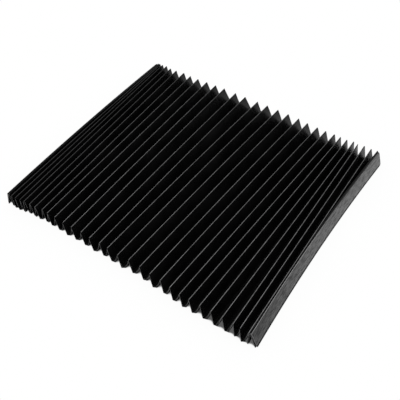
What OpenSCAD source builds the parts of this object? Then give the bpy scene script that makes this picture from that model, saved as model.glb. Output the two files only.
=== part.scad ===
// Flat bellows way cover: one stiffened sheet of cloth, folded into pleats between two end strips.
// +X runs from the fixed end to the moving end, +Z is up, and the origin is at the bottom centre.

/* [Cover] */
// Width of the cover, across its pleats
cover_w = 300; // [120:1:600]
// Number of pleats from the first ridge to the last
pleats = 30; // [8:1:60]
// Width of one flat panel, from fold to fold
panel_w = 19; // [14:0.5:40]

/* [Opening at rest] */
// Opening of the pleat at the fixed end
fixed_opening = 2.6; // [2:0.1:12]
// Opening of the pleats in the middle
mid_opening = 15.6; // [6:0.1:20]
// Opening of the pleat at the moving end
moving_opening = 7.2; // [2:0.1:12]
// How strongly the pleats crowd towards both ends
crowding = 1.2; // [1:0.05:3]

/* [Sheet] */
// Thickness of the coated cloth, which makes the folds by itself
cloth_t = 0.25; // [0.15:0.05:0.5]
// Thickness of the stiffener bonded under each panel
stiffener_t = 0.35; // [0.2:0.05:0.7]
// Bare cloth between a fold and the edge of the stiffener
fold_margin = 0.6; // [0.3:0.1:2]
// Room left inside a fold when the cover is pushed shut
fold_clearance = 0.05; // [0.02:0.01:0.2]
// Radius of a valley, as a share of the step between its two ridges
valley_spread = 0.14; // [0.03:0.01:0.2]

/* [End strips] */
// Thickness of an end strip
strip_t = 1.6; // [0.8:0.1:4]
// Radius along the edges of an end strip
edge_r = 0.3; // [0.1:0.05:0.4]
// Lean of the fixed end's strip from upright, with its foot outwards
fixed_lean = 16; // [5:1:30]
// Lean of the moving end's strip from upright, with its foot outwards
moving_lean = 21; // [5:1:30]
// Glue line between an end strip and the sheet
glue_t = 0.1; // [0.05:0.05:0.3]

/* [Hidden] */
sheet_colour = [0.06, 0.06, 0.065];
strip_colour = [0.13, 0.13, 0.135];

// Straight steps in the arc of one fold, and in the round edge of an end strip
fold_steps = 6;
edge_steps = 4;
// Fold radii at the middle of the cloth: stiffeners meet inside a ridge, bare cloth inside a shut valley
ridge_r = cloth_t / 2 + stiffener_t + fold_clearance;
shut_valley_r = cloth_t / 2 + fold_clearance;
// Folds are numbered from the fixed end: even ones are ridges, odd ones are valleys
whole_pleats = round(pleats);
last_fold = 2 * whole_pleats;

// Opening of the pleat under a ridge: a half sine between the two end openings
function opening(ridge) =
    let (along = ridge / whole_pleats,
         at_ends = fixed_opening + (moving_opening - fixed_opening) * along)
    at_ends + (mid_opening - at_ends) * pow(max(0, sin(180 * along)), crowding);

function is_ridge(fold) = fold % 2 == 0;

// Distance along X from a fold to the next one: half the opening of the pleat that they share
function fold_step_x(fold) = opening(ceil(fold / 2)) / 2;

fold_x = [
    for (fold = 0, x = 0; fold <= last_fold; x = x + fold_step_x(fold), fold = fold + 1) x
];

// The wider a valley opens, the rounder the bare cloth in it
function valley_r(fold) =
    let (step = (opening((fold - 1) / 2) + opening((fold + 1) / 2)) / 2)
    max(shut_valley_r, valley_spread * step);
function fold_r(fold) = is_ridge(fold) ? ridge_r : valley_r(fold);

// Mean radius of the valleys beside a ridge
function beside_r(ridge) = (valley_r(max(1, ridge - 1)) + valley_r(min(last_fold - 1, ridge + 1))) / 2;

// Valley arcs stand on the ground, and equal panels carry each ridge as high as its opening lets it.
// A panel is the inner tangent of a ridge arc and a valley arc, which sets their centres apart.
function fold_z(fold) =
    is_ridge(fold)
    ? let (centre_gap = norm([panel_w, ridge_r + beside_r(fold)]))
      beside_r(fold) + cloth_t / 2 + sqrt(pow(centre_gap, 2) - pow(opening(fold / 2) / 2, 2))
    : valley_r(fold) + cloth_t / 2;

// The first and last panels carry the end strips, and lean with them
function end_lean(fold) = fold <= 0 ? fixed_lean : moving_lean;

// Lean from upright of the panel that follows a fold
function panel_lean(fold) =
    fold < 0 || fold >= last_fold
    ? end_lean(fold)
    : let (run = fold_step_x(fold),
           rise = abs(fold_z(fold) - fold_z(fold + 1)))
      atan2(run, rise) - asin((fold_r(fold) + fold_r(fold + 1)) / norm([run, rise]));

// Distance between the edge arcs of an end strip, and how far its foot stands out from its ridge
edge_gap = strip_t - 2 * edge_r;
function strip_reach(fold) =
    let (inner = ridge_r + cloth_t / 2 + glue_t + edge_r,
         lean = end_lean(fold))
    inner / cos(lean) + (fold_z(fold) - edge_r) * tan(lean) + edge_gap * cos(lean) + edge_r;

// The middle of the whole length lies over the origin
shift_x = (strip_reach(0) - strip_reach(last_fold) - fold_x[last_fold]) / 2;
function fold_centre(fold) = [fold_x[fold] + shift_x, fold_z(fold)];

// Angles where the arc of a fold starts and ends, going from the fixed end to the moving end
function arc_start(fold) = is_ridge(fold) ? 180 - panel_lean(fold - 1) : 180 + panel_lean(fold - 1);
function arc_end(fold) = is_ridge(fold) ? panel_lean(fold) : 360 - panel_lean(fold);

// One face of the cloth around a fold: side 1 is the upper face, side -1 the lower one
function fold_radius(fold, side) =
    fold_r(fold) + (is_ridge(fold) ? side : -side) * cloth_t / 2;
function fold_point(fold, side, angle) =
    fold_centre(fold) + fold_radius(fold, side) * [cos(angle), sin(angle)];
function fold_arc(fold, side) = [
    for (step = [0:fold_steps])
        fold_point(fold, side, arc_start(fold) + (arc_end(fold) - arc_start(fold)) * step / fold_steps)
];

// Direction under a panel that runs along the given direction
function under(along) = [along[1], -along[0]];

// Edge of the stiffener under the panel that joins a fold to the next one
function stiffener(fold) =
    let (from = fold_point(fold, -1, arc_end(fold)),
         to = fold_point(fold + 1, -1, arc_start(fold + 1)),
         along = (to - from) / norm(to - from),
         inset = along * fold_margin,
         down = under(along) * stiffener_t)
    [from + inset, from + inset + down, to - inset + down, to - inset];

// End panel, from its foot on the ground up to the last ridge: the sheet's two faces, foot first
function end_along(fold) = [(fold == 0 ? 1 : -1) * sin(end_lean(fold)), cos(end_lean(fold))];
function end_under(fold) = (fold == 0 ? 1 : -1) * under(end_along(fold));
function end_start(fold) = fold_point(fold, -1, fold == 0 ? arc_start(fold) : arc_end(fold));
function end_foot(fold) =
    let (lean = end_lean(fold),
         length = (end_start(fold)[1] - stiffener_t * sin(lean)) / cos(lean))
    end_start(fold) - end_along(fold) * length;
function end_upper(fold) = end_foot(fold) - end_under(fold) * cloth_t;
function end_lower(fold) =
    let (top = end_start(fold) - end_along(fold) * fold_margin,
         down = end_under(fold) * stiffener_t)
    [end_foot(fold) + down, top + down, top];

function reversed(points) = [for (i = [len(points) - 1:-1:0]) points[i]];

// Section of the sheet: along the upper face to the moving end, and back along the lower face
function sheet_section() =
    let (upper = [for (fold = [0:last_fold]) each fold_arc(fold, 1)],
         lower = [
             for (fold = [0:last_fold])
                 each fold < last_fold ? concat(fold_arc(fold, -1), stiffener(fold)) : fold_arc(fold, -1)
         ])
    concat(
        [end_upper(0)], upper, [end_upper(last_fold)],
        reversed(concat(end_lower(0), lower, reversed(end_lower(last_fold))))
    );

// Quarter circle along one edge of an end strip, turning from one direction to the other
function edge_arc(centre, from, to) = [
    for (step = [0:edge_steps])
        let (turn = 90 * step / edge_steps)
        centre + edge_r * (from * cos(turn) + to * sin(turn))
];

// Section of an end strip: it lies on the end panel, from the ground up to the level of the ridge
function strip_section(fold) =
    let (along = end_along(fold),
         out = -end_under(fold),
         inner = end_start(fold) + out * (cloth_t + glue_t + edge_r),
         outer = inner + out * edge_gap,
         ridge_top = fold_z(fold) + ridge_r + cloth_t / 2,
         foot = along * (edge_r - inner[1]) / along[1],
         head = along * (ridge_top - edge_r - outer[1]) / along[1])
    concat(
        edge_arc(inner + head, -out, along),
        edge_arc(outer + head, along, out),
        edge_arc(outer + foot, out, -along),
        edge_arc(inner + foot, -along, -out)
    );

// Draws a section in the X-Z plane across the whole width
module across() {
    rotate([90, 0, 0]) linear_extrude(cover_w, center = true) children();
}

module pleated_cover() {
    color(sheet_colour) across() polygon(sheet_section());
}

module fixed_end_strip() {
    color(strip_colour) across() polygon(strip_section(0));
}

module moving_end_strip() {
    color(strip_colour) across() polygon(strip_section(last_fold));
}

pleated_cover();
fixed_end_strip();
moving_end_strip();
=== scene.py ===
import bpy
import numpy as np
from mathutils import Matrix, Vector


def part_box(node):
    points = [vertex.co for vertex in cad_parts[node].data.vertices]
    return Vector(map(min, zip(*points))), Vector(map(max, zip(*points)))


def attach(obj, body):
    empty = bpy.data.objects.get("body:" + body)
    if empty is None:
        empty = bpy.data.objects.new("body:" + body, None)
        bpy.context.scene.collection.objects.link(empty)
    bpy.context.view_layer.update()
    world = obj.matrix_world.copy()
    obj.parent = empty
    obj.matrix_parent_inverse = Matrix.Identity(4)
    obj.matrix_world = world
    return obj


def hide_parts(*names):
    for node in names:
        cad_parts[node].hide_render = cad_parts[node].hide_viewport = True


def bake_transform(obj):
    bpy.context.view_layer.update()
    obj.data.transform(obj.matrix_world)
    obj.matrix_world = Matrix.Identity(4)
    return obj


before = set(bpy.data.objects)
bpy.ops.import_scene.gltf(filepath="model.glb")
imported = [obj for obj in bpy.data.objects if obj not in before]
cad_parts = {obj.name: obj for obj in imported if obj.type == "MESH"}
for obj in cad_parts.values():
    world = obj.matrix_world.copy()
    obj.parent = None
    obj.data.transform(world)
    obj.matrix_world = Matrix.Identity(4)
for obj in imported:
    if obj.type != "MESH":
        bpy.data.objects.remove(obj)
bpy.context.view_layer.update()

# Pleated sheet: one length of black coated cloth with a thin stiffener bonded under every flat panel.
# It is creased in a press, so that the bare cloth folds between the stiffeners, and it lies as it was
# last pushed together: crowded at both ends, open in the middle, and a little out of line.
pleats = 30
folds = 2 * pleats + 1
panels = folds + 1
panel_width = 0.019
fixed_opening = 0.0026
middle_opening = 0.0156
moving_opening = 0.0072
crowding = 1.2
valley_spread = 0.14
cloth_thick = 0.00025
stiffener_thick = 0.00035
bare_margin = 0.0006
fold_clearance = 0.00005
ridge_radius = cloth_thick / 2 + stiffener_thick + fold_clearance
least_radius = cloth_thick / 2 + fold_clearance
cover_low, cover_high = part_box("pleated_cover")
near_y, far_y = cover_low.y, cover_high.y
stations = 45
across = -np.cos(np.linspace(0, np.pi, stations))
station_y = (near_y + far_y) / 2 + across * (far_y - near_y) / 2
near_share, far_share = (1 - across) / 2, (1 + across) / 2
fixed_lean = 16
moving_lean_near = 21.5
moving_lean_far = 15.5
end_lean = np.radians([
    np.full(stations, fixed_lean),
    moving_lean_near + (moving_lean_far - moving_lean_near) * far_share,
])
hand = np.random.default_rng(31596)


def eased(share):
    """Smooth step: three times the square less twice the cube of the share, held between 0 and 1."""
    share = np.clip(share, 0, 1)
    return share * share * (3 - 2 * share)


def run_of_pleats(pleat, rise, fall):
    """1 over a run of pleats and 0 outside it: a smooth step up over the rise, and one down over the fall."""
    up = eased((pleat - rise[0]) / (rise[1] - rise[0]))
    down = eased((pleat - fall[0]) / (fall[1] - fall[0]))
    return up * (1 - down)


first_push = 0.0051
middle_push = 0.0082
last_push = 0.0029
strip_push = 0.000812


def sideways_push(pleat):
    """How far a ridge's near end is pushed to the moving end, and its far end as far the other way.

    Three runs of pleats are pushed: the first ones, the open middle, the other way, and the last few. The
    ridge at the moving strip is pushed the other way too.
    """
    first = first_push * run_of_pleats(pleat, rise=(0, 3), fall=(5, 11))
    middle = middle_push * run_of_pleats(pleat, rise=(11.5, 17.5), fall=(21.5, 27))
    last = last_push * run_of_pleats(pleat, rise=(25, 28), fall=(29, 30))
    return first - middle + last - strip_push * eased(pleat - (pleats - 1))


late_creep = 0.0013
last_creep = 0.0018


def crept(pleat):
    """How far a ridge has crept to the moving end: a run of late pleats, and the last but one by a bell."""
    bell = np.exp(-(((pleat - (pleats - 1)) / 0.5) ** 2))
    return late_creep * run_of_pleats(pleat, rise=(18, 23), fall=(27, 30)) + last_creep * bell


fixed_strip_bow = 0.0026
moving_strip_bow = 0.0039
middle_bow = 0.0012


def bow(pleat):
    """How far a ridge's middle lies towards the fixed end.

    The end strips bend most, and their neighbours follow less by an exponential of the distance. A run
    of open pleats bends a little too.
    """
    at_fixed = fixed_strip_bow * np.exp(-pleat / 1.2)
    at_moving = moving_strip_bow * np.exp((pleat - pleats) / 0.5)
    return at_fixed + at_moving + middle_bow * run_of_pleats(pleat, rise=(8, 14), fall=(20, 26))


row_shift = 0.00095
late_near_back = 0.002
unevenness = 0.04


def ridge_places():
    """X of every ridge at every station across, as an array of ridges by stations.

    Openings follow a half sine raised to a power, on top of a straight line between the end openings.
    Two neighbouring half openings make the step from ridge to ridge, and the row lies a little to the
    fixed end. The lay is added to that, with a few late ridges set back at the near side, and an uneven
    shift and turn as small shares of each opening.
    """
    pleat = np.arange(pleats + 1)
    along = pleat / pleats
    at_ends = fixed_opening + (moving_opening - fixed_opening) * along
    opening = at_ends + (middle_opening - at_ends) * np.sin(np.pi * along).clip(0) ** crowding
    straight = np.concatenate([[0], np.cumsum((opening[:-1] + opening[1:]) / 2)])
    straight -= straight[-1] / 2 + row_shift
    uneven = hand.normal(0, unevenness, (pleats + 1, 2)) * opening[:, None]
    uneven[[0, -1]] = 0
    late_back = late_near_back * run_of_pleats(pleat, rise=(22, 24), fall=(24.5, 27))
    lay = -np.outer(sideways_push(pleat), across) - np.outer(bow(pleat), 1 - across**2)
    lay -= np.outer(late_back, near_share)
    return (straight + crept(pleat))[:, None] + lay + uneven[:, :1] - uneven[:, 1:] * across


near_lean_share = 0.05
far_lean_share = 0.1
last_lean_share = 0.28


def fold_centres():
    """X, Z and radius of every fold: ridges and valleys in turn, by stations across.

    A valley lies on the ground between its ridges, and its radius is a share of their distance. It is
    midway at both ends. A run of open pleats leans to the moving end at the near side, where a valley is
    set back, and to the fixed end at the far side, where the last valley is set forth too.
    A ridge is as high as two panels carry it whose feet are as far apart as its valleys.
    """
    ridge_x = ridge_places()
    pitch = np.diff(ridge_x, axis=0)
    pleat = np.arange(pleats)
    near_back = near_lean_share * run_of_pleats(pleat, rise=(3, 9), fall=(20, 24))
    far_forth = far_lean_share * run_of_pleats(pleat, rise=(5, 11), fall=(20, 26))
    far_forth += last_lean_share * eased(pleat - (pleats - 2))
    valley_share = 0.5 - np.outer(near_back, near_share) + np.outer(far_forth, far_share)
    valley_x = ridge_x[:-1] + pitch * valley_share
    valley_radius = np.maximum(least_radius, valley_spread * pitch)
    beside = np.concatenate([valley_radius[:1], valley_radius, valley_radius[-1:]])
    mean_radius = (beside[:-1] + beside[1:]) / 2
    outer = np.concatenate([2 * ridge_x[:1] - valley_x[:1], valley_x, 2 * ridge_x[-1:] - valley_x[-1:]])
    half_opening = np.diff(outer, axis=0) / 2
    gap_squared = panel_width**2 + (ridge_radius + mean_radius) ** 2
    x = np.empty((folds, stations))
    z = np.empty_like(x)
    radius = np.full_like(x, ridge_radius)
    x[0::2] = ridge_x
    x[1::2] = valley_x
    z[0::2] = mean_radius + cloth_thick / 2 + np.sqrt(gap_squared - half_opening**2)
    z[1::2] = valley_radius + cloth_thick / 2
    radius[1::2] = valley_radius
    return x, z, radius


fold_x, fold_z, fold_radius = fold_centres()
is_ridge = np.arange(folds) % 2 == 0
step_x = np.diff(fold_x, axis=0)
step_z = np.abs(np.diff(fold_z, axis=0))
both_radii = fold_radius[:-1] + fold_radius[1:]
panel_lean = np.arctan2(step_x, step_z) - np.arcsin(both_radii / np.hypot(step_x, step_z))
lean_before = np.concatenate([end_lean[:1], panel_lean])
lean_after = np.concatenate([panel_lean, end_lean[1:]])
ridge_mask = is_ridge[:, None]
arc_start = np.where(ridge_mask, np.pi - lean_before, np.pi + lean_before)
arc_end = np.where(ridge_mask, lean_after, 2 * np.pi - lean_after)
arc_points = 7
arc_share = np.linspace(0, 1, arc_points)
margin = bare_margin / panel_width
film_edge = margin + 0.003
panel_share = np.array([margin, film_edge, 1 / 3, 2 / 3, 1 - film_edge, 1 - margin])
end_panel_share = [0, 0.2, 0.4, 0.7]
stiffened = np.array([0, 1, 1, 1, 1, 0])
slack_depth = 0.00007
slack = hand.normal(0, slack_depth, (panels, 3)) @ np.stack(
    [np.ones(stations), np.cos(np.pi * across), np.sin(np.pi * across)]
)


def section_rows(on_panels, on_arcs):
    """Values for every point of the section, from those of its panels and of its folds in turn."""
    pairs = np.concatenate([on_panels[:-1], on_arcs], axis=1)
    return np.concatenate([pairs.reshape(-1, *pairs.shape[2:]), on_panels[-1]])


def sheet_face(side):
    """X and Z of one face of the sheet, as points along it by stations across.

    Each fold is an arc about its centre, and each panel the straight line between two arcs, with a
    little slack as a parabola. The lower face, side -1, drops by the stiffener between the margins. The
    end panels run on down to their feet, in line with the strips.
    """
    radius = fold_radius + np.where(ridge_mask, side, -side) * cloth_thick / 2
    turn = arc_start[:, None] + (arc_end - arc_start)[:, None] * arc_share[:, None]
    arc_x = fold_x[:, None] + radius[:, None] * np.cos(turn)
    arc_z = fold_z[:, None] + radius[:, None] * np.sin(turn)
    lean_sine, lean_cosine = np.sin(end_lean), np.cos(end_lean)
    lower_start = fold_z[[0, -1]] + (ridge_radius - cloth_thick / 2) * lean_sine
    end_long = (lower_start - stiffener_thick * lean_sine) / lean_cosine
    foot_out = end_long * lean_sine
    foot_down = end_long * lean_cosine
    from_x = np.concatenate([arc_x[:1, 0] - foot_out[:1], arc_x[:, -1]])
    from_z = np.concatenate([arc_z[:1, 0] - foot_down[:1], arc_z[:, -1]])
    to_x = np.concatenate([arc_x[:, 0], arc_x[-1:, -1] + foot_out[1:]])
    to_z = np.concatenate([arc_z[:, 0], arc_z[-1:, -1] - foot_down[1:]])
    run_x, run_z = to_x - from_x, to_z - from_z
    run = np.hypot(run_x, run_z)
    share = np.tile(panel_share, (panels, 1))
    drop = np.tile(stiffened * stiffener_thick * (side < 0), (panels, 1))
    share[0, :4] = end_panel_share
    share[-1] = 1 - share[0][::-1]
    drop[0, 0] = drop[0, 1]
    drop[-1, -1] = drop[-1, -2]
    sag = 4 * share * (1 - share)
    sag[[0, -1]] = 0
    under = drop[:, :, None] + sag[:, :, None] * slack[:, None]
    panel_x = from_x[:, None] + run_x[:, None] * share[:, :, None] + (run_z / run)[:, None] * under
    panel_z = from_z[:, None] + run_z[:, None] * share[:, :, None] - (run_x / run)[:, None] * under
    return section_rows(panel_x, arc_x), section_rows(panel_z, arc_z)


cut_unevenness = 0.0007
valley_draw = 0.0009


def cut_line(slant):
    """How far each point of the section is set back from a straight cut at one end of the sheet.

    Every panel is cut a little unevenly, and the cloth draws back round a valley by a half sine. The cut
    slants across a valley: panels that fall to it reach out and panels that rise from it are set back, by
    a smooth step from the first pleats to the open ones.
    """
    panel = np.arange(panels)[:, None]
    panel_end = hand.normal(0, cut_unevenness, panel.shape)
    panel_end += slant * np.where(panel % 2 == 0, 1, -1) * eased((panel / 2 - 5) / 7)
    panel_end[[0, -1]] = 0
    drawn = np.where(is_ridge, 0, valley_draw)[:, None] * np.sin(np.pi * arc_share)
    arcs = panel_end[:-1] + np.diff(panel_end, axis=0) * arc_share + drawn
    return section_rows(np.repeat(panel_end, len(panel_share), axis=1), arcs)


def slid(pleat, forth, rise, fall, back):
    """How far a cut end lies to the far side: forth over a first run of pleats, less back over a late one."""
    late = run_of_pleats(pleat, rise=(20, 23), fall=(27, 30))
    return forth * run_of_pleats(pleat, rise, fall) - back * late


def grid_quads(index, flip=False):
    """Quads between neighbouring rows and columns of a grid of vertex numbers."""
    corners = [index[:-1, :-1], index[:-1, 1:], index[1:, 1:], index[1:, :-1]]
    return np.stack(corners[::-1] if flip else corners, axis=-1).reshape(-1, 4)


upper_x, upper_z = sheet_face(1)
lower_x, lower_z = sheet_face(-1)
section_points = len(upper_x)
middle = stations // 2
section_steps = np.hypot(np.diff(upper_x[:, middle]), np.diff(upper_z[:, middle]))
developed = np.concatenate([[0], np.cumsum(section_steps)])
row_pleat = pleats * developed / developed[-1]
cut_reach = 0.008
near_end = eased(1 - (station_y - near_y) / cut_reach)
far_end = eased(1 - (far_y - station_y) / cut_reach)
far_foot_out = 0.0016
near_foot_out = 0.0011
late_foot_out = 0.0007
near_foot_rows = near_foot_out + late_foot_out * eased((row_pleat[:, None] - 20) / 6)
cut_lean = (1 - upper_z / upper_z.max()) * (far_foot_out * far_share - near_foot_rows * near_share)
near_slid = slid(row_pleat, forth=0.0031, rise=(1.5, 6.5), fall=(17, 21), back=0.0015)
far_slid = slid(row_pleat, forth=0.0023, rise=(8, 13), fall=(16, 20), back=0.0014)
near_cut = cut_line(slant=0.0008)
far_cut = cut_line(slant=0)
sheet_y = (
    station_y
    + cut_lean
    + np.outer(near_slid, near_share)
    + np.outer(far_slid, far_share)
    + np.outer(near_cut, near_end)
    - np.outer(far_cut, far_end)
)
vertices = np.concatenate([
    np.stack([upper_x, sheet_y, upper_z], axis=-1).reshape(-1, 3),
    np.stack([lower_x, sheet_y, lower_z], axis=-1).reshape(-1, 3),
])
upper = np.arange(section_points * stations).reshape(section_points, stations)
lower = upper + section_points * stations
cut_faces = np.concatenate([
    grid_quads(np.stack([upper[:, 0], lower[:, 0]], axis=1)),
    grid_quads(np.stack([upper[:, -1], lower[:, -1]], axis=1), flip=True),
    grid_quads(np.stack([upper[0], lower[0]])),
    grid_quads(np.stack([upper[-1], lower[-1]]), flip=True),
])
faces_by_finish = [grid_quads(upper, flip=True), grid_quads(lower), cut_faces]
face_uv = np.stack(np.broadcast_arrays(developed[:, None], station_y), axis=-1).reshape(-1, 2)
sheet_uv = np.concatenate([face_uv, face_uv])


def mesh_piece(name, vertices, faces_by_finish, uv, sharp_angle):
    """A mesh object from vertices, one array of quads for each of its finishes, and a UV per vertex."""
    faces = np.concatenate(faces_by_finish)
    mesh = bpy.data.meshes.new(name)
    mesh.from_pydata(vertices, [], faces)
    finish = np.repeat(np.arange(len(faces_by_finish)), [len(part) for part in faces_by_finish])
    mesh.polygons.foreach_set("material_index", finish.astype(np.int32))
    mesh.polygons.foreach_set("use_smooth", np.ones(len(faces), bool))
    layer = mesh.uv_layers.new(name="surface")
    layer.data.foreach_set("uv", uv[faces.ravel()].astype(np.float32).ravel())
    mesh.set_sharp_from_angle(angle=np.radians(sharp_angle))
    piece = bpy.data.objects.new(name, mesh)
    bpy.context.scene.collection.objects.link(piece)
    return piece


sheet = mesh_piece("pleated_sheet", vertices, faces_by_finish, sheet_uv, sharp_angle=50)

# Crest lines: partly worn grey, partly a painted highlight; dimmer at the fixed end and the far side.
fold_pleat = np.arange(folds) / 2
open_ridge = is_ridge & (fold_pleat > 0) & (fold_pleat < pleats)
least_wear_and_highlight = 0.25
wear_and_highlight = open_ridge * (least_wear_and_highlight + (1 - least_wear_and_highlight) * eased((fold_pleat - 2) / 10))
crest_line = [0, 0, 0.05, 1, 0.05, 0, 0]
crest_fade_end = 0.01
far_wear_and_highlight_loss = 0.5
wear_and_highlight_across = eased((far_y - station_y) / crest_fade_end) * (1 - far_wear_and_highlight_loss * far_share)
not_panels = np.zeros((panels, len(panel_share)))


def crest_wear_and_highlight():
    """How grey each point is, worn and as a painted highlight: the middle line of a ridge, less at the fixed
    end and the far side.
    """
    return np.outer(section_rows(not_panels, np.outer(wear_and_highlight, crest_line)), wear_and_highlight_across)


# Far tips: their lost sheen is painted shade, deepest by the ridges and on the last tips.
tip_reach = 0.03
far_tip = eased(1 - (far_y - station_y) / tip_reach)
tip_shade = 0.5
late_tip_shade = 0.4
below_ridge_shade = 0.45
below_ridge_share = 0.8


def crease_dulling_and_tip_shade():
    """How far each point has lost its sheen: wholly on a ridge's arc, and partly at the far tips.

    At the far tips the lost sheen is painted shade. A tip is dullest by its ridge, and less so down the panel
    by a smooth step. The last tips are duller.
    """
    on_ridges = section_rows(not_panels, np.outer(is_ridge, np.ones(arc_points)))
    from_ridge = np.where(np.arange(panels)[:, None] % 2 == 1, panel_share, 1 - panel_share)
    below_ridge = section_rows(eased(1 - from_ridge / below_ridge_share), np.zeros((folds, arc_points)))
    row_tip_shade = tip_shade + late_tip_shade * eased((row_pleat - 26.5) / 2)
    dull = np.maximum(on_ridges[:, None], np.outer(row_tip_shade, far_tip))
    return dull + below_ridge_shade * np.outer(below_ridge, far_tip)


for name, point_value in (("crest", crest_wear_and_highlight()), ("crease", crease_dulling_and_tip_shade())):
    layer = sheet.data.attributes.new(name, "FLOAT", "POINT")
    layer.data.foreach_set("value", np.concatenate([point_value, np.zeros_like(point_value)]).astype(np.float32).ravel())


class Finish:
    """A new material with its shader, and short ways to add nodes that take sockets or constants."""

    def __init__(self, name):
        self.material = bpy.data.materials.new(name)
        self.material.use_nodes = True
        self.nodes = self.material.node_tree.nodes
        self.join = self.material.node_tree.links.new
        self.shader = self.nodes["Principled BSDF"]

    def add(self, kind, **settings):
        """A node with the given settings."""
        node = self.nodes.new(kind)
        for key, value in settings.items():
            setattr(node, key, value)
        return node

    def fill(self, socket, value):
        """Joins a value's socket to this one, or sets it to a constant."""
        if isinstance(value, bpy.types.NodeSocket):
            self.join(value, socket)
        else:
            socket.default_value = value

    def coat(self, values):
        """Fills the shader's own sockets by name."""
        for name, value in values.items():
            self.fill(self.shader.inputs[name], value)

    def place(self):
        """The Object coordinates of a point."""
        return self.add("ShaderNodeTexCoord").outputs["Object"]

    def surface(self):
        """The UV of a point."""
        return self.add("ShaderNodeUVMap", uv_map="surface").outputs["UV"]

    def point_value(self, name):
        """The value of one of the mesh's attributes."""
        return self.add("ShaderNodeAttribute", attribute_name=name).outputs["Fac"]

    def parts(self, vector):
        """The X, Y and Z of a vector."""
        node = self.add("ShaderNodeSeparateXYZ")
        self.join(vector, node.inputs["Vector"])
        return tuple(node.outputs)

    def noise(self, place, scale, detail):
        """Cloudy noise at a place."""
        node = self.add("ShaderNodeTexNoise")
        self.join(place, node.inputs["Vector"])
        node.inputs["Scale"].default_value = scale
        node.inputs["Detail"].default_value = detail
        return node.outputs["Fac"]

    def spread(self, value, source, target, **settings):
        """A value carried from one range to another, and held at its ends."""
        node = self.add("ShaderNodeMapRange", **settings)
        self.join(value, node.inputs["Value"])
        for end, level in zip(("From Min", "From Max", "To Min", "To Max"), (*source, *target)):
            self.fill(node.inputs[end], level)
        return node.outputs["Result"]

    def ramp(self, value, *stops):
        """A colour for a value, in straight lines between stops of position and colour."""
        node = self.add("ShaderNodeValToRGB")
        self.join(value, node.inputs["Fac"])
        elements = node.color_ramp.elements
        for number, (position, colour) in enumerate(stops):
            element = elements[number] if number < len(elements) else elements.new(position)
            element.position = position
            element.color = (*colour, 1)
        return node.outputs["Color"]

    def math(self, operation, *values):
        """Arithmetic on one to three values."""
        node = self.add("ShaderNodeMath", operation=operation)
        for socket, value in zip(node.inputs, values):
            self.fill(socket, value)
        return node.outputs["Value"]

    def mix(self, share, first, second):
        """A number from the first to the second, by a share."""
        node = self.add("ShaderNodeMix")
        for name, value in (("Factor", share), ("A", first), ("B", second)):
            self.fill(node.inputs[name], value)
        return node.outputs["Result"]

    def mix_colour(self, share, first, second):
        """A colour from the first to the second, by a share.

        The node's colour sockets share their names with others, so they are taken by number.
        """
        node = self.add("ShaderNodeMix", data_type="RGBA")
        for socket, value in zip((node.inputs["Factor"], *node.inputs[6:8]), (share, first, second)):
            self.fill(socket, value)
        return node.outputs[2]

    def bump(self, height, strength, distance):
        """A normal tilted by the slope of a height."""
        node = self.add("ShaderNodeBump")
        self.join(height, node.inputs["Height"])
        node.inputs["Strength"].default_value = strength
        node.inputs["Distance"].default_value = distance
        return node.outputs["Normal"]


coat_black = (0.0014, 0.0014, 0.0015)
worn_black = (0.0036, 0.0036, 0.0037)
# Crest grey: worn, and also a painted highlight.
worn_and_highlight_grey = (0.42, 0.42, 0.422, 1)
thread_step = 0.0006


def coated_cloth():
    """Black satin coating on cloth: faint patches, and crests grey where worn and as a painted highlight.
    It has less sheen where it is creased, and at the far tips, where that is painted shade.

    The plain weave under it is the product of two sines, along the sheet and across it.
    """
    cloth = Finish("coated_cloth")
    place = cloth.place()
    patches = cloth.noise(place, scale=38, detail=5)
    black = cloth.ramp(patches, (0.35, coat_black), (0.7, worn_black))
    gloss = cloth.spread(patches, (0.3, 0.7), (0.22, 0.32))
    # Crest grey, worn and painted as a highlight, broken up by noise.
    wear_and_highlight_share = cloth.spread(cloth.noise(place, scale=160, detail=3), (0.25, 0.65), (0.45, 1))
    worn_and_highlit = cloth.math("MULTIPLY", cloth.point_value("crest"), wear_and_highlight_share)
    threads = cloth.add("ShaderNodeVectorMath", operation="SCALE")
    threads.inputs["Scale"].default_value = 2 * np.pi / thread_step
    cloth.join(cloth.surface(), threads.inputs[0])
    warp, weft, _ = cloth.parts(threads.outputs["Vector"])
    weave = cloth.math("MULTIPLY", cloth.math("SINE", warp), cloth.math("SINE", weft))
    cloth.coat({
        "Base Color": cloth.mix_colour(worn_and_highlit, black, worn_and_highlight_grey),
        "Roughness": cloth.mix(worn_and_highlit, gloss, 0.5),
        "IOR": 1.5,
        # Less sheen on creases, and at the far tips as painted shade.
        "Specular IOR Level": cloth.spread(cloth.point_value("crease"), (0, 1), (0.5, 0.1)),
        "Normal": cloth.bump(weave, strength=0.2, distance=0.00002),
    })
    return cloth.material


film_dark = (0.004, 0.004, 0.0042)
film_pale = (0.011, 0.011, 0.0112)


def stiffener_film():
    """Dull black film under the panels, with a fine grain."""
    film = Finish("stiffener_film")
    grain = film.noise(film.place(), scale=220, detail=4)
    film.coat({
        "Base Color": film.ramp(grain, (0, film_dark), (1, film_pale)),
        "Roughness": 0.9,
        "Specular IOR Level": 0,
    })
    return film.material


edge_black = (0.004, 0.004, 0.0042)
thread_grey = (0.16, 0.16, 0.16)
foot_height, lit_height = 0.002, 0.018


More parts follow.
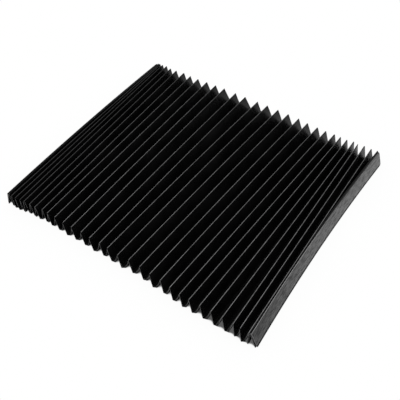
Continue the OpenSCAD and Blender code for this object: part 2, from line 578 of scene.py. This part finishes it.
def cut_edge():
    """Cut edge of the sheet: grey thread ends between black coats, paler at a ridge than at its feet.

    The darker feet are painted shade.
    """
    edge = Finish("cut_edge")
    place = edge.place()
    fibres = edge.noise(place, scale=900, detail=2)
    _, _, height = edge.parts(place)
    # Painted shade: the thread ends are darker down towards the feet.
    edge_light = edge.spread(height, (foot_height, lit_height), (0.1, 1))
    pale = edge.math("MULTIPLY", fibres, edge_light)
    edge.coat({
        "Base Color": edge.ramp(pale, (0, edge_black), (0.6, thread_grey)),
        "Roughness": 0.8,
        "Specular IOR Level": 0.2,
    })
    return edge.material


for finish in (coated_cloth(), stiffener_film(), cut_edge()):
    sheet.data.materials.append(finish)
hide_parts("pleated_cover")
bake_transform(sheet)

# End strips: two flat strips of black plastic, sawn to size with eased edges, and glued on the sheet's end
# panels. They stand at the lean of those panels, feet outwards, and bend with the cover. The moving one
# is twisted a little, and their far corners are rounded. The outer edge of the head is painted pale as a
# highlight, which turns dark from the middle to the far end.
strip_thick = 0.0016
strip_edge = 0.0003
strip_corner = 0.003
glue_line = 0.0001
edge_points = 5


def strip_loop(fold, outward):
    """X and Z of the closed section of a strip at every station: four quarter circles joined by flats.

    The head and the foot draw in at the far end, by the round of a circle.
    """
    turn = np.linspace(0, np.pi / 2, edge_points)[:, None]
    up = np.stack([-outward * np.sin(end_lean[fold]), np.cos(end_lean[fold])])
    out = np.stack([outward * np.cos(end_lean[fold]), np.sin(end_lean[fold])])
    stand_off = ridge_radius + cloth_thick / 2 + glue_line + strip_edge
    edge_gap = strip_thick - 2 * strip_edge
    inner = np.stack([fold_x[fold], fold_z[fold]]) + out * stand_off
    top = fold_z[fold] + ridge_radius + cloth_thick / 2
    drawn_in = np.clip(strip_corner - (far_y - station_y), 0, None)
    short = strip_corner - np.sqrt(strip_corner**2 - drawn_in**2)
    head = (top - strip_edge - inner[1] - out[1] * edge_gap) / up[1] - short
    foot = (strip_edge - inner[1]) / up[1] + short
    corners = [
        (head, 0, -out, up),
        (head, edge_gap, up, out),
        (foot, edge_gap, out, -up),
        (foot, 0, -up, -out),
    ]
    arcs = [
        inner[:, None] + up[:, None] * rise + out[:, None] * gap
        + strip_edge * (start[:, None] * np.cos(turn) + end[:, None] * np.sin(turn))
        for rise, gap, start, end in corners
    ]
    return np.concatenate(arcs, axis=1)


def end_strip(name, fold, outward):
    """A strip's mesh: its section at every station, closed round, with a row of quads across each end.

    The faces come as the two flats, the head, the head's outer edge, the foot and the ends.
    """
    x, z = strip_loop(fold, outward)
    rows = len(x)
    y = np.broadcast_to(station_y, x.shape)
    index = np.arange(rows * stations).reshape(rows, stations)
    closed = np.concatenate([index, index[:1]])
    half = rows // 2
    near_cap = np.stack([index[:half, 0], index[half:, 0][::-1]], axis=1)
    far_cap = np.stack([index[:half, -1], index[half:, -1][::-1]], axis=1)
    flip = outward > 0
    faces_by_finish = [
        np.concatenate([grid_quads(closed[half - 1:half + 1], flip), grid_quads(closed[-2:], flip)]),
        grid_quads(closed[:half // 2 + 1], flip),
        grid_quads(closed[half // 2:half], flip),
        grid_quads(closed[half:-1], flip),
        np.concatenate([grid_quads(near_cap, not flip), grid_quads(far_cap, flip)]),
    ]
    girth = np.concatenate([[0], np.cumsum(np.hypot(np.diff(x[:, 0]), np.diff(z[:, 0])))])
    uv = np.stack(np.broadcast_arrays(girth[:, None], y), axis=-1).reshape(-1, 2)
    vertices = np.stack([x, y, z], axis=-1).reshape(-1, 3)
    return mesh_piece(name, vertices, faces_by_finish, uv, sharp_angle=15)


plastic_black = (0.006, 0.006, 0.0062)
plastic_worn = (0.014, 0.014, 0.0142)
foot_band_height = 0.008
streaks_round, streaks_along = 400, 110


def strip_plastic():
    """Satin black plastic: a shallow wavy skin, with a streaked sheen that grows up to the middle. The weaker
    sheen towards the near end is painted shade.

    The foot line is a ramp over the height: hardly any sheen, then all of it, then a little less. The dull
    band is a painted shadow at the foot, and the full band above it a painted highlight.
    """
    plastic = Finish("strip_plastic")
    place = plastic.place()
    _, side, height = plastic.parts(place)
    waves = plastic.noise(place, scale=70, detail=4)
    # Painted shade: the sheen is weaker towards the near end.
    sheen = plastic.spread(side, (near_y, 0), (0.4, 1.12))
    drawn_out = plastic.add("ShaderNodeMapping")
    drawn_out.inputs["Scale"].default_value = (streaks_round, streaks_along, 1)
    plastic.join(plastic.surface(), drawn_out.inputs["Vector"])
    streaks = plastic.noise(drawn_out.outputs["Vector"], scale=1, detail=3)
    streak_share = plastic.spread(streaks, (0.38, 0.62), (0.45, 1.55))
    streaked = plastic.math("MULTIPLY", sheen, streak_share)
    # Painted shadow along the foot, with a painted highlight just above it.
    up_foot = plastic.spread(height, (0, foot_band_height), (0, 1))
    foot_shadow_and_highlight = plastic.ramp(up_foot, (0.33, (0.04,) * 3), (0.45, (1,) * 3), (1, (0.75,) * 3))
    plastic.coat({
        "Base Color": plastic.ramp(waves, (0.3, plastic_black), (0.75, plastic_worn)),
        "Roughness": plastic.spread(waves, (0.3, 0.7), (0.26, 0.38)),
        "IOR": 1.5,
        "Specular IOR Level": plastic.math("MULTIPLY", streaked, foot_shadow_and_highlight),
        "Normal": plastic.bump(waves, strength=0.4, distance=0.0002),
    })
    return plastic.material


far_start, far_stop = -0.02, 0.06


def sawn(name, dark, pale, far_tone=None):
    """Sawn plastic: dull, between a dark and a pale grey by the fine grain of the saw.

    With a grey for the far end, it goes over to that from the middle of the strip. It also makes the painted
    highlight on the head's outer edge.
    """
    cut = Finish(name)
    place = cut.place()
    grain = cut.noise(place, scale=500, detail=3)
    tone = cut.ramp(grain, (0, (dark,) * 3), (1, (pale,) * 3))
    if far_tone is not None:
        _, side, _ = cut.parts(place)
        far = cut.spread(side, (far_start, far_stop), (0, 1))
        tone = cut.mix_colour(far, tone, (far_tone, far_tone, far_tone, 1))
    cut.coat({"Base Color": tone, "Roughness": 0.7, "Specular IOR Level": 0.08})
    return cut.material


strip_finishes = [
    strip_plastic(),
    sawn("sawn_head", dark=0.002, pale=0.008, far_tone=0.026),
    # The head's outer edge is a painted highlight: pale grey that turns dark towards the far end.
    sawn("painted_highlight_edge", dark=0.2, pale=0.45, far_tone=0.02),
    sawn("sawn_foot", dark=0.002, pale=0.008),
    sawn("sawn_end", dark=0.08, pale=0.25),
]
for name, node, fold, outward, body in (
    ("fixed_strip", "fixed_end_strip", 0, -1, "fixed_end"),
    ("moving_strip", "moving_end_strip", -1, 1, "moving_end"),
):
    strip = end_strip(name, fold, outward)
    for finish in strip_finishes:
        strip.data.materials.append(finish)
    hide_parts(node)
    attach(strip, body)

# Floor and light: a plain white table under a white sky that is brightest overhead, with one soft lamp
# at the camera's right. The camera sees both as white, and the table goes dark in the shade of the
# pleats. Reflections see the table a little brighter than it is.
floor_half = 4.0
floor_low = -0.0002
floor_mesh = bpy.data.meshes.new("floor")
floor_mesh.from_pydata(
    [(-floor_half, -floor_half, floor_low), (floor_half, -floor_half, floor_low),
     (floor_half, floor_half, floor_low), (-floor_half, floor_half, floor_low)],
    [], [(0, 1, 2, 3)],
)
floor = bpy.data.objects.new("floor", floor_mesh)
bpy.context.scene.collection.objects.link(floor)

table_white = (0.8, 0.8, 0.8, 1)
mirrored_white = (0.98, 0.98, 0.98, 1)
shade_reach = 0.06
late_start, late_stop = 0.095, 0.125


def white_table():
    """Matt white that the camera sees as white, and darker where the object hides most of the sky.

    The shade is a smooth step of the open share of the sky. Under the last pleats it starts a little
    sooner and is less deep.
    """
    table = Finish("white_table")
    path = table.add("ShaderNodeLightPath").outputs
    mirrored = table.math("MAXIMUM", path["Is Glossy Ray"], path["Is Transmission Ray"])
    table.coat({
        "Base Color": table.mix_colour(mirrored, table_white, mirrored_white),
        "Roughness": 0.9,
        "Specular IOR Level": 0,
    })
    occlusion = table.add("ShaderNodeAmbientOcclusion", samples=32)
    occlusion.inputs["Distance"].default_value = shade_reach
    open_sky = occlusion.outputs["AO"]
    along, _, _ = table.parts(table.place())
    late = table.spread(along, (late_start, late_stop), (0, 1))
    level = table.math("MULTIPLY_ADD", late, -0.2, open_sky)
    deep = table.spread(late, (0, 1), (0.03, 0.11))
    shown = table.spread(level, (0.08, 0.24), (deep, 1), interpolation_type="SMOOTHSTEP")
    soft = table.math("MULTIPLY_ADD", open_sky, 0.06, 0.94)
    seen = table.add("ShaderNodeEmission")
    table.join(table.math("MULTIPLY", shown, soft), seen.inputs["Strength"])
    choose = table.add("ShaderNodeMixShader")
    table.join(path["Is Camera Ray"], choose.inputs["Fac"])
    table.join(table.shader.outputs["BSDF"], choose.inputs[1])
    table.join(seen.outputs["Emission"], choose.inputs[2])
    table.join(choose.outputs["Shader"], table.nodes["Material Output"].inputs["Surface"])
    return table.material


floor.data.materials.append(white_table())

sky_at_horizon = 0.3
sky_overhead = 1.35
sky = bpy.data.worlds.new("white_sky")
sky.use_nodes = True
sky_nodes = sky.node_tree.nodes
sky_join = sky.node_tree.links.new
sky_light = sky_nodes["Background"]
sky_light.inputs["Color"].default_value = (1, 1, 1, 1)
sky_way = sky_nodes.new("ShaderNodeTexCoord")
sky_split = sky_nodes.new("ShaderNodeSeparateXYZ")
overhead = sky_nodes.new("ShaderNodeMapRange")
overhead.inputs["To Min"].default_value = sky_at_horizon
overhead.inputs["To Max"].default_value = sky_overhead
sky_path = sky_nodes.new("ShaderNodeLightPath")
sky_seen = sky_nodes.new("ShaderNodeMix")
sky_seen.inputs["B"].default_value = 1.0
sky_join(sky_way.outputs["Generated"], sky_split.inputs["Vector"])
sky_join(sky_split.outputs["Z"], overhead.inputs["Value"])
sky_join(sky_path.outputs["Is Camera Ray"], sky_seen.inputs["Factor"])
sky_join(overhead.outputs["Result"], sky_seen.inputs["A"])
sky_join(sky_seen.outputs["Result"], sky_light.inputs["Strength"])
bpy.context.scene.world = sky

lamp_place = Vector((1.1, 0.8, 0.8))
lamp_data = bpy.data.lights.new("side_lamp", "AREA")
lamp_data.size = 0.8
lamp_data.energy = 3
lamp = bpy.data.objects.new("side_lamp", lamp_data)
lamp.location = lamp_place
lamp.rotation_euler = (-lamp_place).to_track_quat("-Z", "Y").to_euler()
bpy.context.scene.collection.objects.link(lamp)

# Camera: high outside the near corner at the moving end. It looks down at about the middle of the cover,
# and is turned a little about its own axis.
view_aim = Vector((0.02895, -0.0338, 0.020))
view_azimuth = np.radians(37.11)
view_elevation = np.radians(49.14)
view_distance = 0.7214
view_roll = np.radians(3.54)
back = Vector((
    np.sin(view_azimuth) * np.cos(view_elevation),
    -np.cos(view_azimuth) * np.cos(view_elevation),
    np.sin(view_elevation),
))
level_right = (-back).cross(Vector((0, 0, 1))).normalized()
level_up = level_right.cross(-back)
right = np.cos(view_roll) * level_right - np.sin(view_roll) * level_up
up = np.cos(view_roll) * level_up + np.sin(view_roll) * level_right
turned = Matrix((right, up, back)).transposed().to_4x4()
camera_data = bpy.data.cameras.new("camera")
camera_data.sensor_width = 36
camera_data.lens = 55.35
camera = bpy.data.objects.new("camera", camera_data)
camera.matrix_world = Matrix.Translation(view_aim + back * view_distance) @ turned
bpy.context.scene.collection.objects.link(camera)
bpy.context.scene.camera = camera
bpy.context.scene.view_settings.view_transform = "Standard"
